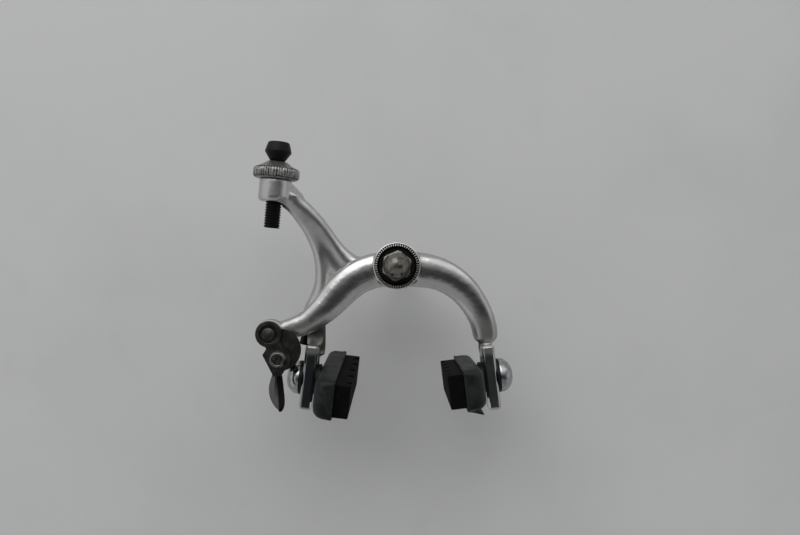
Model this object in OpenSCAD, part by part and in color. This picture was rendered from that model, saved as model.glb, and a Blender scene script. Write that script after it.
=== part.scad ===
// Single-pivot side-pull caliper brake with a quick release on the cable anchor.
// The origin lies on the centre bolt's axis at the face that meets the frame.
// X runs across the wheel, Z points up and the front of the brake faces -Y.

/* [Centre bolt] */
// Diameter of the centre bolt
bolt_d = 6; // [5:0.5:6.5]
// Free length of the stud behind the mounting face
stud_len = 26; // [16:1:40]
// Diameter of the serrated crown washer
crown_washer_d = 15; // [12:0.5:18]
// Thickness of the serrated crown washer
crown_washer_t = 1.8; // [1:0.1:3]
// Diameter of the spring block on the bolt
block_d = 14.4; // [12:0.2:16]
// Length of the spring block
block_len = 6.2; // [5:0.1:9]
// Thickness of the washers between the arms
washer_t = 0.8; // [0.5:0.1:1.5]
// Running clearance on the radius of a pin in its bore
run_gap = 0.05; // [0.02:0.01:0.08]

/* [Arms] */
// Thickness of the rear arm's pivot boss
rear_boss_t = 7.6; // [6:0.2:9]
// Thickness of the front arm's pivot boss
front_boss_t = 8; // [6:0.2:9]
// Diameter of both pivot bosses
boss_d = 17.6; // [16:0.2:20]
// Depth of the shoe bolts below the centre bolt
reach = 42; // [40:0.5:46]
// Distance from the centre bolt to the left tab at the shoe bolt
left_tab_x = 33.1; // [31:0.1:35]
// Distance from the centre bolt to the right tab at the shoe bolt
right_tab_x = 35.3; // [33:0.1:37]
// Lean of both tabs
tab_tilt = 6.8; // [4:0.2:9]
// Thickness of the slotted tabs
tab_t = 4.9; // [4:0.1:6]
// Depth of the slotted tabs from front to back
tab_w = 13; // [12:0.5:15]
// Height of a tab above the shoe bolt
tab_up = 12.4; // [11:0.2:13]
// Height of a tab below the shoe bolt
tab_down = 12; // [11:0.2:14]
// Length of the slot in a tab
slot_len = 16; // [12:0.5:18]
// Bevel along the tab's edges
tab_bevel = 0.6; // [0.3:0.1:1]

/* [Pivot front] */
// Diameter of the serrated dial
dial_d = 17.3; // [16:0.1:18.5]
// Height of the serrated dial
dial_h = 3.4; // [2.5:0.1:4.5]
// Number of fine teeth inside the dial's rim
dial_teeth = 64; // [40:4:72]
// Width across flats of the pivot nuts
nut_af = 9.8; // [9:0.1:11]
// Thickness of the adjusting nut inside the dial
adjust_nut_t = 3; // [2.5:0.1:4]
// Height of the acorn nut's hexagon
acorn_hex_h = 5; // [4:0.2:7]
// Height of the acorn nut's dome
acorn_dome_h = 4.4; // [3.6:0.2:5]

/* [Cable adjuster] */
// Lean of the adjuster's axis to the right
adjuster_tilt = 5.1; // [0:0.1:8]
// Diameter of the boss that carries the adjuster
adjuster_boss_d = 12; // [11:0.2:14]
// Height of the boss that carries the adjuster
adjuster_boss_h = 8.6; // [7:0.2:11]
// Diameter of the adjuster's thread
thread_d = 6; // [5:0.5:7]
// Pitch of the adjuster's thread
thread_pitch = 1; // [0.75:0.05:1.25]
// Length of thread below the boss
thread_out = 9.6; // [6:0.2:12]
// Diameter of the knurled wheel
wheel_d = 17.2; // [15:0.2:20]
// Height of the wheel's knurled band
wheel_band_h = 4; // [3:0.2:6]
// Height of the wheel's cone
wheel_cone_h = 2.6; // [1.5:0.1:4]
// Number of ridges on the wheel
wheel_ridges = 44; // [32:2:56]
// Largest diameter of the barrel's head
head_d = 9.9; // [8.8:0.1:11]
// Height of the barrel's head
head_h = 7.4; // [6.4:0.1:9]
// Diameter of the cable housing that the head takes
housing_d = 5.2; // [4.2:0.1:5.4]
// Diameter of the cable hole through the barrel
barrel_bore_d = 2.4; // [1.8:0.1:3]

/* [Quick release] */
// Diameter of the front arm's eye
eye_d = 10.6; // [9.6:0.2:12]
// Thickness of the front arm's eye
eye_t = 6; // [5:0.2:7]
// Diameter of the lever's pivot rivet
rivet_d = 3.8; // [3:0.1:4.2]
// Thickness of the spring washer under the lever
spring_washer_t = 0.6; // [0.4:0.1:1]
// Thickness of the lever's plate
lever_t = 2.2; // [1.6:0.1:3]
// Diameter of the lever's round body
lever_body_d = 15.6; // [14:0.2:17]
// Length of the lever's blade below its neck
blade_len = 12.6; // [10:0.2:16]
// Greatest width of the lever's blade
blade_w = 5.6; // [4:0.2:7]
// Diameter of the cable anchor bolt
anchor_d = 4.8; // [4.4:0.1:5.2]
// Diameter of the hole that takes the cable
cable_hole_d = 1.8; // [1.6:0.1:2.2]
// Width across flats of the anchor nut
anchor_af = 7; // [6.6:0.1:7.2]

/* [Brake shoes] */
// Length of a brake pad
pad_len = 49; // [40:1:55]
// Height of a brake pad
pad_h = 12.2; // [10:0.2:14]
// Height of rubber outside the holder
pad_out = 5.6; // [4:0.2:8]
// Number of grooves across the pad's face
pad_grooves = 5; // [3:1:7]
// Wall of the shoe holder
holder_wall = 1.3; // [0.8:0.1:1.6]
// Depth of the shoe holder
holder_depth = 7.5; // [6.5:0.1:9]
// Drop of the holder's middle below its bolt
holder_drop = 0.8; // [0:0.1:1.4]
// Turn of the left shoe about its bolt, front end down
left_pitch = 6; // [-4:0.5:7]
// Turn of the right shoe about its bolt, front end down
right_pitch = -0.5; // [-4:0.5:7]
// Height of the left shoe's bolt above the middle of its slot
left_shoe_up = -0.8; // [-3:0.1:1]
// Height of the right shoe's bolt above the middle of its slot
right_shoe_up = 0; // [-3:0.1:3]
// Diameter of a shoe bolt
shoe_bolt_d = 6; // [5:0.5:6]
// Diameter of the washer inside a tab
inner_washer_d = 11.6; // [10:0.2:12.4]
// Thickness of the washer inside a tab
inner_washer_t = 1.5; // [1:0.1:2]
// Thickness of the washer outside a tab
outer_washer_t = 1; // [0.6:0.1:1.6]
// Diameter of a shoe's dome nut
dome_d = 12.8; // [12:0.2:14]
// Height of a shoe's dome nut
dome_h = 5.4; // [5:0.2:7]

/* [Return spring] */
// Diameter of the spring's wire
wire_d = 2.2; // [1.8:0.1:2.6]
// Outer diameter of the sleeves on the spring's ends
sleeve_d = 4; // [3.8:0.1:4.4]
// Length of the sleeves on the spring's ends
sleeve_len = 8; // [6:0.5:9]

/* [Hidden] */
$fn = 64;
// Small overlap that joins solids of one piece
join = 0.4;
// Passage of a cutter past the face that it cuts
past = 1;

// Faces of the stack along the centre bolt, from the frame to the front
block_back = -crown_washer_t;
block_front = block_back - block_len;
rear_back = block_front - washer_t;
rear_front = rear_back - rear_boss_t;
front_back = rear_front - washer_t;
front_front = front_back - front_boss_t;
dial_floor_t = 0.8;
nut_seat = front_front - dial_floor_t;
acorn_seat = nut_seat - adjust_nut_t;
rear_y = (rear_back + rear_front) / 2;
front_y = (front_back + front_front) / 2;
bore_r = bolt_d / 2 + run_gap;
shoulder_r = bolt_d / 2 + 0.6;
washer_d = boss_d - 1.6;

// Shifts of all that goes with the tabs, from the places typed below
left_shift = 33.1 - left_tab_x;
right_shift = right_tab_x - 35.3;
low = 42 - reach;

// Tabs: both lie in the plane between the two arms
tab_y = (rear_front + front_back) / 2;
slot_w = shoe_bolt_d + 0.4;
left_tab = [-left_tab_x, tab_y, -reach];
right_tab = [right_tab_x, tab_y, -reach];

// Quick release
eye = [left_shift - 47.4, low - 25.2];
eye_front = front_front + 0.8;
eye_back = eye_front + eye_t;
lever_back = eye_front - spring_washer_t;
lever_front = lever_back - lever_t;
anchor = eye + [3.5, -9.3];
lever_body = eye + [4.1, -5.8];
lever_neck = eye + [3.2, -15.6];
lever_neck_w = 2.6;
blade_tip = [lever_neck[0] + 1.7, lever_neck[1] - blade_len];
anchor_washer_t = 1.4;
cable_y = lever_back + anchor_washer_t + cable_hole_d;
clamp_washer_t = 1;
clamp_y = cable_y + cable_hole_d / 2 + 0.1;
anchor_nut_t = 4;
anchor_nut_y = clamp_y + clamp_washer_t;

// Cable adjuster: the cable runs in one plane from the barrel to the anchor
adjuster_top = [-45.4, 32.4];
adjuster_y = cable_y;
wheel_bevel = 0.6;
wheel_h = wheel_band_h + wheel_cone_h;
neck_d = thread_d - 0.6;

// Return spring: an arc round the block and two legs, points chosen by hand
spring_r = 6;
groove_r = spring_r - wire_d / 2 - run_gap;
groove_w = wire_d + 0.2;
spring_y = (block_back + block_front) / 2;
spring_turn = 50;
sleeve_gap = 0.3;
left_end_y = rear_back + 2.4;
right_end_y = tab_y + 8.6;
left_leg = [[-13, -3, 0], [-22, -9, 0.2], [left_shift / 2 - 30, -16, 0.6],
    [left_shift - 34.8, -23.2, 1], [left_shift - 36.5, -30.6, 1]];
right_leg = [[13, -3, 0], [21.2, -9, 0.2], [right_shift / 2 + 28, -16, 0.6],
    [right_shift + 32.3, -23.2, 1], [right_shift + 34, -30.6, 1]];
tang_d = 3.2;

// Arms as lists of stations: x, z, width, y and depth of the section there.
// The lower ends follow the tabs when the tabs move.
front_d = front_boss_t - 0.2;
rear_d = rear_boss_t - 0.2;
front_stations = [
    [eye[0] + 1, eye[1] + 0.6, 5.8, (eye_front + eye_back) / 2, eye_t - 0.4],
    [-42.6 + left_shift * 0.9, -23.9 + low * 0.9, 6.8, front_y + 0.1, eye_t],
    [-38.4 + left_shift * 0.7, -23 + low * 0.7, 8, front_y, eye_t + 0.6],
    [-33.4, -21 + low * 0.4, 8.9, front_y, front_d - 0.6],
    [-28.4, -17.2, 10.4, front_y, front_d],
    [-25, -13.9, 11.5, front_y, front_d],
    [-21.8, -10.3, 12.4, front_y, front_d],
    [-18.4, -6.9, 12.9, front_y, front_d],
    [-14.4, -4.1, 13.1, front_y, front_d],
    [-8.5, -1.8, 13.2, front_y, front_d],
    [0, -1, 13.4, front_y, front_d],
    [8.6, -1.5, 13.2, front_y, front_d],
    [14.2, -2.5, 12.6, front_y + 0.3, front_d],
    [19.8, -4.9, 12, front_y + 0.9, front_d + 0.2],
    [25.1, -9, 11.3, front_y + 1.8, front_d + 0.5],
    [29.1, -14.1, 10.5, front_y + 2.8, front_d + 0.8],
    [31.8 + right_shift / 2, -19, 10, front_y + 3.5, front_d + 1],
    [33.1 + right_shift, -23, 9.7, front_y + 4, front_d + 1.2],
    [33.6 + right_shift, -26 + low, 9.4, front_y + 4.2, front_d + 1.2],
    [33.8 + right_shift, -28 + low, 8, front_y + 4.2, front_d + 0.8],
    [33.9 + right_shift, -29.4 + low, 4.4, front_y + 4.2, front_d],
    [34 + right_shift, -31.6 + low, 4, front_y + 4.2, front_d - 0.4]];
rear_rib_stations = [
    [adjuster_top[0] + 1.2, 27.4, 5, adjuster_y, 6],
    [-40.6, 26.3, 4.9, adjuster_y + 0.9, 6.6],
    [-36.8, 23.9, 4.6, adjuster_y + 2.2, 7],
    [-33.3, 20.7, 4.4, rear_y - 5.4, 7.2],
    [-30, 17, 4.4, rear_y - 3.6, rear_d],
    [-26.7, 12.4, 4.4, rear_y - 1.8, rear_d],
    [-23.4, 7.7, 4.6, rear_y - 0.5, rear_d],
    [-20.2, 3.7, 5.6, rear_y, rear_d],
    [-15.5, 0.1, 7.4, rear_y, rear_d],
    [-8, -0.9, 10.4, rear_y, rear_d],
    [0, -0.6, 11.4, rear_y, rear_d]];
rear_leg_stations = [
    [-43.4, 24.9, 4, adjuster_y + 0.4, 5.6],
    [-39.4, 21.9, 4.4, adjuster_y + 1.6, 6.4],
    [-36.1, 17.9, 4.8, rear_y - 5.2, 7],
    [-33.3, 13.6, 5, rear_y - 3.2, rear_d],
    [-31.2, 9, 5.2, rear_y - 1.2, rear_d],
    [-29.6, 4.6, 5.6, rear_y - 0.1, rear_d],
    [-28.7, 0, 6.2, rear_y, rear_d],
    [-28.3, -4.7, 6.8, rear_y, rear_d],
    [-28.8, -9.4, 7.4, rear_y, rear_d],
    [-30.3, -14, 8.2, rear_y, rear_d],
    [-32 + left_shift / 2, -18.6, 9, rear_y, rear_d],
    [-31.8 + left_shift, -22.8, 8.4, rear_y, rear_d],
    [-31.1 + left_shift, -26.2 + low, 7.2, rear_y - 0.4, rear_d + 0.6],
    [-31.3 + left_shift, -28.4 + low, 6.4, rear_y - 2.2, rear_d + 2.6],
    [-31.7 + left_shift, -30.6 + low, 4.4, tab_y, tab_w - 1.6]];
rear_heel_stations = [
    [-30.4 + left_shift, -21 + low, 5.6, rear_y, rear_d - 0.6],
    [-30.1 + left_shift, -26 + low, 5, rear_y, rear_d - 0.6],
    [-30.1 + left_shift, -30.4 + low, 5, rear_y, rear_d - 1],
    [-30.3 + left_shift, -34.4 + low, 4.6, rear_y, rear_d - 1.6]];
rear_web_stations = [
    [-41, 24.4, 3.4, adjuster_y + 0.9, 3.6],
    [-36.4, 20.8, 3.6, adjuster_y + 2.2, 4],
    [-32.4, 16.4, 4.4, rear_y - 3.6, 4.2],
    [-29.4, 11.6, 5.6, rear_y - 1.4, 4.2],
    [-26.8, 6.4, 8, rear_y + 0.4, 4.2],
    [-24.4, 1, 12, rear_y + 0.8, 4.2],
    [-21.4, -4, 18, rear_y + 0.8, 4.2],
    [-18.6, -8, 19, rear_y + 0.8, 4.2]];
rear_link_stations = [
    [-31, -16.4, 6, rear_y, rear_d - 0.4],
    [-24.5, -12, 7.4, rear_y, rear_d - 0.2],
    [-15, -6.6, 8.4, rear_y, rear_d],
    [-7, -2.4, 10, rear_y, rear_d],
    [0, 0, 10, rear_y, rear_d]];

// Point on a smooth curve between the second and third of four stations
function blend_point(a, b, c, d, t) =
    0.5 * (2 * b + (c - a) * t + (2 * a - 5 * b + 4 * c - d) * t * t
           + (3 * b - a - 3 * c + d) * t * t * t);
// A smooth run through all stations, with n steps from each to the next
function smooth(s, n) = [for (i = [0:len(s) - 2], k = [0:n - 1])
        blend_point(s[max(i - 1, 0)], s[i], s[i + 1], s[min(i + 2, len(s) - 1)], k / n),
    s[len(s) - 1]];
// Unit direction of a run of points at point i
function heading(p, i) =
    let (d = p[min(i + 1, len(p) - 1)] - p[max(i - 1, 0)]) d / norm(d);
// Oval with exponent e round a station, square to the run's direction in X and Z
function oval(s, h, n, e) = [for (k = [0:n - 1])
    let (c = cos(360 * k / n), q = sin(360 * k / n),
         u = s[2] / 2 * sign(c) * pow(abs(c), 2 / e),
         v = s[4] / 2 * sign(q) * pow(abs(q), 2 / e))
    [s[0] - h[1] * u, s[3] + v, s[1] + h[0] * u]];
function flat(s) = [for (p = s) [p[0], p[1]]];

// Closed skin over rings of points, each ring with the same number of points
module skin(rings) {
    n = len(rings[0]);
    m = len(rings);
    polyhedron(points = [for (r = rings) each r],
        faces = [[for (k = [n - 1:-1:0]) k],
                 [for (k = [0:n - 1]) (m - 1) * n + k],
                 for (i = [0:m - 2], k = [0:n - 1])
                     [i * n + k, i * n + (k + 1) % n,
                      (i + 1) * n + (k + 1) % n, (i + 1) * n + k]],
        convexity = 8);
}

// Forged limb through its stations
module limb(stations, steps, sides, roundness) {
    run = smooth(stations, steps);
    line = flat(run);
    skin([for (i = [0:len(run) - 1]) oval(run[i], heading(line, i), sides, roundness)]);
}

// Round wire through points in space
module wire(points, d, sides) {
    skin([for (i = [0:len(points) - 1])
        let (t = heading(points, i), b = [t[2], 0, -t[0]] / norm([t[2], 0, -t[0]]),
             w = cross(t, b))
        [for (k = [0:sides - 1])
            points[i] + d / 2 * (b * cos(360 * k / sides) - w * sin(360 * k / sides))]]);
}

// Cylinder along Y between two depths
module along_y(r, y0, y1) {
    translate([0, max(y0, y1), 0]) rotate([90, 0, 0]) cylinder(r = r, h = abs(y1 - y0));
}

// Ring along Y between two depths
module ring_y(r, hole, y0, y1) {
    difference() {
        along_y(r, y0, y1);
        along_y(hole, min(y0, y1) - past, max(y0, y1) + past);
    }
}

// Hexagon with chamfered corners at both ends, standing on z = 0
module hexagon(af, h, chamfer) {
    across = af / cos(30);
    intersection() {
        cylinder(d = across, h = h, $fn = 6);
        rotate_extrude() polygon([[0, 0], [af / 2, 0], [across / 2, chamfer],
            [across / 2, h - chamfer], [af / 2, h], [0, h]]);
    }
}

// Slotted tab round the shoe bolt, thickness along X, before it leans
module tab_blank() {
    b = tab_bevel;
    levels = [[tab_up, b], [tab_up - b, 0], [-tab_down + b, 0], [-tab_down, b]];
    skin([for (l = levels)
        let (x = tab_t / 2 - l[1], y = tab_w / 2 - l[1])
        [[x, -y + b, l[0]], [x, y - b, l[0]], [x - b, y, l[0]], [-x + b, y, l[0]],
         [-x, y - b, l[0]], [-x, -y + b, l[0]], [-x + b, -y, l[0]], [x - b, -y, l[0]]]]);
}

// Slot through a tab
module tab_slot() {
    straight = slot_len - slot_w;
    translate([-tab_t, -slot_w / 2, -straight / 2]) cube([2 * tab_t, slot_w, straight]);
    for (z = [-straight / 2, straight / 2])
        translate([-tab_t, 0, z]) rotate([0, 90, 0]) cylinder(d = slot_w, h = 2 * tab_t);
}

module at_left_tab() { translate(left_tab) rotate([0, tab_tilt, 0]) children(); }
module at_right_tab() { translate(right_tab) rotate([0, -tab_tilt, 0]) children(); }

// Peg behind an arm that the spring's sleeve pushes against
module tang(x, y_from, y_to) {
    translate([x, 0, -22.6]) along_y(tang_d / 2, y_from, y_to);
}

module pivot_bolt() {
    color("silver") {
        along_y(bolt_d / 2, stud_len, block_back - join);
        along_y(shoulder_r, 0, block_back - join);
        along_y(bolt_d / 2, block_front + join, acorn_seat - acorn_hex_h);
        translate([0, block_back, 0]) rotate([90, 0, 0]) rotate_extrude() polygon([
            [0, 0], [block_d / 2, 0], [block_d / 2, (block_len - groove_w) / 2],
            [groove_r, (block_len - groove_w) / 2], [groove_r, (block_len + groove_w) / 2],
            [block_d / 2, (block_len + groove_w) / 2], [block_d / 2, block_len],
            [0, block_len]]);
    }
}

module crown_washer() {
    color("silver") difference() {
        ring_y(crown_washer_d / 2, shoulder_r + run_gap, 0, block_back);
        for (a = [0:15:345]) rotate([0, a, 0])
            translate([crown_washer_d / 2 - 1.2, -0.5, -0.5]) cube([past + 1.2, past, 1]);
    }
}

// Points of one leg of the spring; the third number of a point is its share of end_y
function leg_points(leg, end_y) = [for (p = leg) [p[0], spring_y + p[2] * (end_y - spring_y), p[1]]];
function spring_points() =
    let (arc_l = [for (a = [90 + spring_turn - 10:-20:90 - spring_turn + 10])
             [-spring_r * cos(180 - a), spring_y, spring_r * sin(a)]],
         left = leg_points(left_leg, left_end_y), right = leg_points(right_leg, right_end_y))
    concat([for (i = [4:-1:0]) left[i]], arc_l, right);

module return_spring() {
    color("silver") wire(smooth(spring_points(), 3), wire_d, 10);
}

module spring_sleeve(leg, end_y) {
    ends = leg_points(leg, end_y);
    d = ends[4] - ends[3];
    tilt = atan2(d[0], -d[2]);
    color([0.06, 0.06, 0.06]) translate(ends[4]) rotate([0, -tilt, 0]) difference() {
        translate([0, 0, -0.4]) cylinder(d = sleeve_d, h = sleeve_len);
        translate([0, 0, -past]) cylinder(r = wire_d / 2 + sleeve_gap, h = sleeve_len + 2 * past);
    }
}
module spring_sleeve_left() { spring_sleeve(left_leg, left_end_y); }
module spring_sleeve_right() { spring_sleeve(right_leg, right_end_y); }

module rear_washer() { color("gold") ring_y(washer_d / 2, bore_r, block_front, rear_back); }
module middle_washer() { color("gold") ring_y(washer_d / 2, bore_r, rear_front, front_back); }

module serrated_dial() {
    rim = 0.5;
    tooth = 0.55;
    inner = dial_d / 2 - rim;
    half = 180 / dial_teeth;
    star = [for (k = [0:2 * dial_teeth - 1]) let (r = inner - (k % 2) * tooth)
        [r * cos(k * half), r * sin(k * half)]];
    color([0.45, 0.45, 0.45]) translate([0, front_front, 0]) rotate([90, 0, 0]) difference() {
        rotate_extrude() polygon([[bore_r, 0], [dial_d / 2 - 0.3, 0], [dial_d / 2, 0.3],
            [dial_d / 2, dial_h - 0.2], [dial_d / 2 - 0.2, dial_h],
            [inner - 0.9, dial_h], [inner - 2, dial_floor_t], [bore_r, dial_floor_t]]);
        translate([0, 0, dial_h - 1]) linear_extrude(past + 1) polygon(star);
    }
}

module adjusting_nut() {
    color([0.4, 0.4, 0.4]) translate([0, nut_seat, 0]) rotate([90, 0, 0]) difference() {
        rotate(15) hexagon(nut_af, adjust_nut_t, 0.3);
        translate([0, 0, -past]) cylinder(r = bore_r, h = adjust_nut_t + 2 * past);
    }
}

module pivot_acorn_nut() {
    neck_r = nut_af / 2 - 0.5;
    color([0.6, 0.58, 0.54]) translate([0, acorn_seat, 0]) rotate([90, 0, 0]) difference() {
        union() {
            rotate(85) hexagon(nut_af, acorn_hex_h, 0.5);
            translate([0, 0, acorn_hex_h - join]) rotate_extrude() polygon(concat([[0, 0]],
                [for (a = [0:10:90]) [neck_r * cos(a), join + acorn_dome_h * sin(a)]]));
        }
        translate([0, 0, -past]) cylinder(r = bore_r, h = acorn_hex_h + past + run_gap);
    }
}

module rear_arm() {
    color([0.78, 0.78, 0.79]) difference() {
        union() {
            limb(rear_rib_stations, 3, 18, 2.4);
            limb(rear_leg_stations, 3, 18, 2.6);
            limb(rear_heel_stations, 2, 14, 3);
            limb(rear_web_stations, 2, 14, 3.4);
            limb(rear_link_stations, 3, 16, 2.6);
            along_y(boss_d / 2, rear_front, rear_back);
            translate([adjuster_top[0], adjuster_y, adjuster_top[1]])
                rotate([0, adjuster_tilt, 0]) adjuster_boss();
            at_left_tab() tab_blank();
            tang(left_shift - 38.4, rear_y - 1, left_end_y + 1.2);
            translate([left_shift - 38.4, rear_y - 1, -24.6]) cube([4.6, rear_back - rear_y + 0.6, 3.6]);
        }
        along_y(bore_r, rear_front - past, rear_back + past);
        at_left_tab() tab_slot();
        translate([adjuster_top[0], adjuster_y, adjuster_top[1]])
            rotate([0, adjuster_tilt, 0]) translate([0, 0, -adjuster_boss_h - thread_out])
                cylinder(r = thread_d / 2 + run_gap, h = adjuster_boss_h + thread_out + past);
    }
}

// Boss below the wheel, with its top face at z = 0 and a round lower edge
module adjuster_boss() {
    r = adjuster_boss_d / 2;
    round_r = 1.4;
    rotate_extrude() polygon(concat([[0, 0], [0, -adjuster_boss_h]],
        [for (a = [-90:22.5:0])
            [r - round_r + round_r * cos(a), -adjuster_boss_h + round_r + round_r * sin(a)]],
        [[r, -0.2], [r - 0.2, 0]]));
}

module front_arm() {
    color([0.8, 0.8, 0.81]) difference() {
        union() {
            limb(front_stations, 3, 22, 2.4);
            along_y(boss_d / 2, front_front, front_back);
            translate([eye[0], 0, eye[1]]) along_y(eye_d / 2, eye_front, eye_back);
            at_right_tab() tab_blank();
            tang(right_shift + 35.9, tab_y - 0.5, right_end_y + 1.2);
        }
        along_y(bore_r, front_front - past, front_back + past);
        at_right_tab() tab_slot();
        translate([eye[0], 0, eye[1]])
            along_y(rivet_d / 2 + run_gap, eye_front - past, eye_back + past);
    }
}

module adjuster_barrel() {
    r = thread_d / 2;
    depth = 0.35;
    turns = floor(thread_out / thread_pitch) - 1;
    bottom = -adjuster_boss_h - thread_out;
    neck_z = wheel_h;
    color([0.09, 0.09, 0.09]) at_adjuster() difference() {
        rotate_extrude() polygon(concat(
            [[0, bottom], [r - 0.6, bottom], [r, bottom + 0.6]],
            [for (k = [0:turns - 1], p = [0, 0.5])
                [r - 2 * p * depth, bottom + 1 + (k + p) * thread_pitch]],
            [[r, bottom + 1 + turns * thread_pitch], [r, 0], [r, wheel_h - 1],
             [neck_d / 2, wheel_h - 0.6], [neck_d / 2, neck_z + 0.2],
             [head_d / 2 - 0.2, neck_z + head_h * 0.45], [head_d / 2, neck_z + head_h * 0.52],
             [head_d / 2 - 1, neck_z + head_h - 0.5], [head_d / 2 - 1.4, neck_z + head_h],
             [0, neck_z + head_h]]));
        translate([0, 0, bottom - past])
            cylinder(d = barrel_bore_d, h = -bottom + neck_z + head_h + 2 * past);
        translate([0, 0, neck_z + head_h - 5]) cylinder(d = housing_d, h = 5 + past);
    }
}

module at_adjuster() {
    translate([adjuster_top[0], adjuster_y, adjuster_top[1]])
        rotate([0, adjuster_tilt, 0]) children();
}

module adjuster_wheel() {
    r = wheel_d / 2;
    ridge = 0.4;
    half = 180 / wheel_ridges;
    cog = [for (k = [0:2 * wheel_ridges - 1]) let (q = r - (k % 2) * ridge)
        [q * cos(k * half), q * sin(k * half)]];
    color([0.35, 0.35, 0.34]) at_adjuster() difference() {
        intersection() {
            translate([0, 0, -past]) linear_extrude(wheel_h + 2 * past) polygon(cog);
            rotate_extrude() polygon([[0, 0], [r - 2 * wheel_bevel, 0],
                [r + ridge / 2, 2 * wheel_bevel], [r + ridge / 2, wheel_band_h - 0.2],
                [r - wheel_bevel, wheel_band_h + 0.3], [head_d / 2 - 1, wheel_h], [0, wheel_h]]);
        }
        translate([0, 0, -past]) cylinder(r = thread_d / 2 + run_gap, h = wheel_h + 2 * past);
    }
}

// Lever plate seen from the front: ring on the eye, round body and neck
module lever_outline() {
    left_cut = [eye + [-0.8, -5.4], eye + [-2.2, -7.7], lever_neck - [lever_neck_w / 2, 0]];
    translate(eye) circle(d = eye_d - 0.8);
    intersection() {
        translate(lever_body) circle(d = lever_body_d);
        polygon(concat(left_cut, [lever_neck + [lever_body_d, 0], lever_neck + [lever_body_d, 19],
            eye + [1.4, 3.2]]));
    }
    polygon(concat(left_cut, [lever_neck + [lever_neck_w / 2, 0], lever_neck + [4.6, 3.8],
        eye + [4.4, 0.2], eye - [0, 4]]));
}

module quick_release_lever() {
    run = [for (t = [0:0.1:1]) [lever_neck[0] + t * (blade_tip[0] - lever_neck[0]) - 1.1 * sin(180 * t),
        lever_neck[1] + 1.2 - t * (blade_len + 1.2), t]];
    ridge = 1;
    color([0.2, 0.2, 0.19]) difference() {
        union() {
            translate([0, lever_back, 0]) rotate([90, 0, 0]) linear_extrude(lever_t) lever_outline();
            skin([for (p = run)
                let (t = p[2],
                     w = lever_neck_w + (blade_w - lever_neck_w) * sin(min(180, 150 * t + 12))
                         - 3.2 * pow(t, 6),
                     y = (lever_front + lever_back) / 2 - 2.4 * t * t)
                [[p[0] - w / 2, y + 0.7, p[1]], [p[0] - w / 2, y - 0.2, p[1]],
                 [p[0] + 0.1, y - ridge, p[1]], [p[0] + w / 2, y - 0.2, p[1]],
                 [p[0] + w / 2, y + 0.7, p[1]], [p[0], y + 0.9, p[1]]]]);
        }
        translate([eye[0], 0, eye[1]])
            along_y(rivet_d / 2 + run_gap, lever_front - past, lever_back + past);
        translate([anchor[0], 0, anchor[1]])
            along_y(anchor_d / 2 + run_gap, lever_front - past, lever_back + past);
    }
}

module lever_rivet() {
    r = rivet_d / 2;
    head_r = 2.4;
    color([0.25, 0.25, 0.24]) translate([eye[0], 0, eye[1]]) rotate([90, 0, 0]) rotate_extrude()
        polygon([[0, -eye_back - 0.9], [head_r - 0.3, -eye_back - 0.9], [head_r, -eye_back - 0.6],
            [head_r, -eye_back - run_gap], [r, -eye_back - run_gap], [r, -lever_front + run_gap],
            [head_r, -lever_front + run_gap], [head_r, -lever_front + 0.5],
            [head_r - 0.7, -lever_front + 0.9], [0, -lever_front + 1]]);
}

module spring_washer() {
    color([0.5, 0.5, 0.5]) translate([eye[0], 0, eye[1]])
        ring_y(eye_d / 2 - 1, rivet_d / 2 + run_gap, lever_back, eye_front);
}

module anchor_bolt() {
    r = anchor_d / 2;
    end = anchor_nut_y + anchor_nut_t + 1.2;
    color([0.5, 0.5, 0.48]) translate([anchor[0], 0, anchor[1]]) difference() {
        rotate([90, 0, 0]) rotate_extrude() polygon([
            [0, -end], [r - 0.4, -end], [r, -end + 0.4], [r, -lever_front + run_gap],
            [r + 0.6, -lever_front + run_gap], [r + 0.6, -lever_front + 0.5],
            [r + 0.3, -lever_front + 0.8], [r - 0.4, -lever_front + 0.8],
            [r - 0.5, -lever_front + 1.2], [0, -lever_front + 1.2]]);
        translate([0, cable_y, -anchor_d]) cylinder(d = cable_hole_d, h = 2 * anchor_d);
    }
}

module at_anchor() { translate([anchor[0], 0, anchor[1]]) children(); }
module anchor_washer() {
    color([0.45, 0.45, 0.44]) at_anchor()
        ring_y(anchor_d / 2 + 1.3, anchor_d / 2 + run_gap, lever_back, lever_back + anchor_washer_t);
}
module clamp_washer() {
    color([0.45, 0.45, 0.44]) at_anchor()
        ring_y(anchor_d / 2 + 1.3, anchor_d / 2 + run_gap, clamp_y, anchor_nut_y);
}
module anchor_nut() {
    color([0.5, 0.5, 0.48]) at_anchor() translate([0, anchor_nut_y + anchor_nut_t, 0])
        rotate([90, 0, 0]) difference() {
            hexagon(anchor_af, anchor_nut_t, 0.3);
            translate([0, 0, -past])
                cylinder(r = anchor_d / 2 + run_gap, h = anchor_nut_t + 2 * past);
        }
}

// Shoe pieces in the left shoe's place: X towards the rim, front end at -Y
holder_back_x = tab_t / 2 + inner_washer_t;
holder_open_x = holder_back_x + holder_depth;
holder_h = pad_h + 2 * holder_wall;
holder_half = pad_len / 2 + holder_wall;
stud_head_x = holder_back_x + 2.2;
dome_seat_x = -tab_t / 2 - outer_washer_t;

// Section of the holder: flat open side, round back corners
function holder_ring(y, depth, h, r) = [for (p = concat([[holder_open_x, -h / 2]],
        [for (a = [-90:-22.5:-180]) [holder_open_x - depth + r + r * cos(a), -h / 2 + r + r * sin(a)]],
        [for (a = [180:-22.5:90]) [holder_open_x - depth + r + r * cos(a), h / 2 - r + r * sin(a)]],
        [[holder_open_x, h / 2]]))
    [p[0], y, p[1]]];

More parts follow.
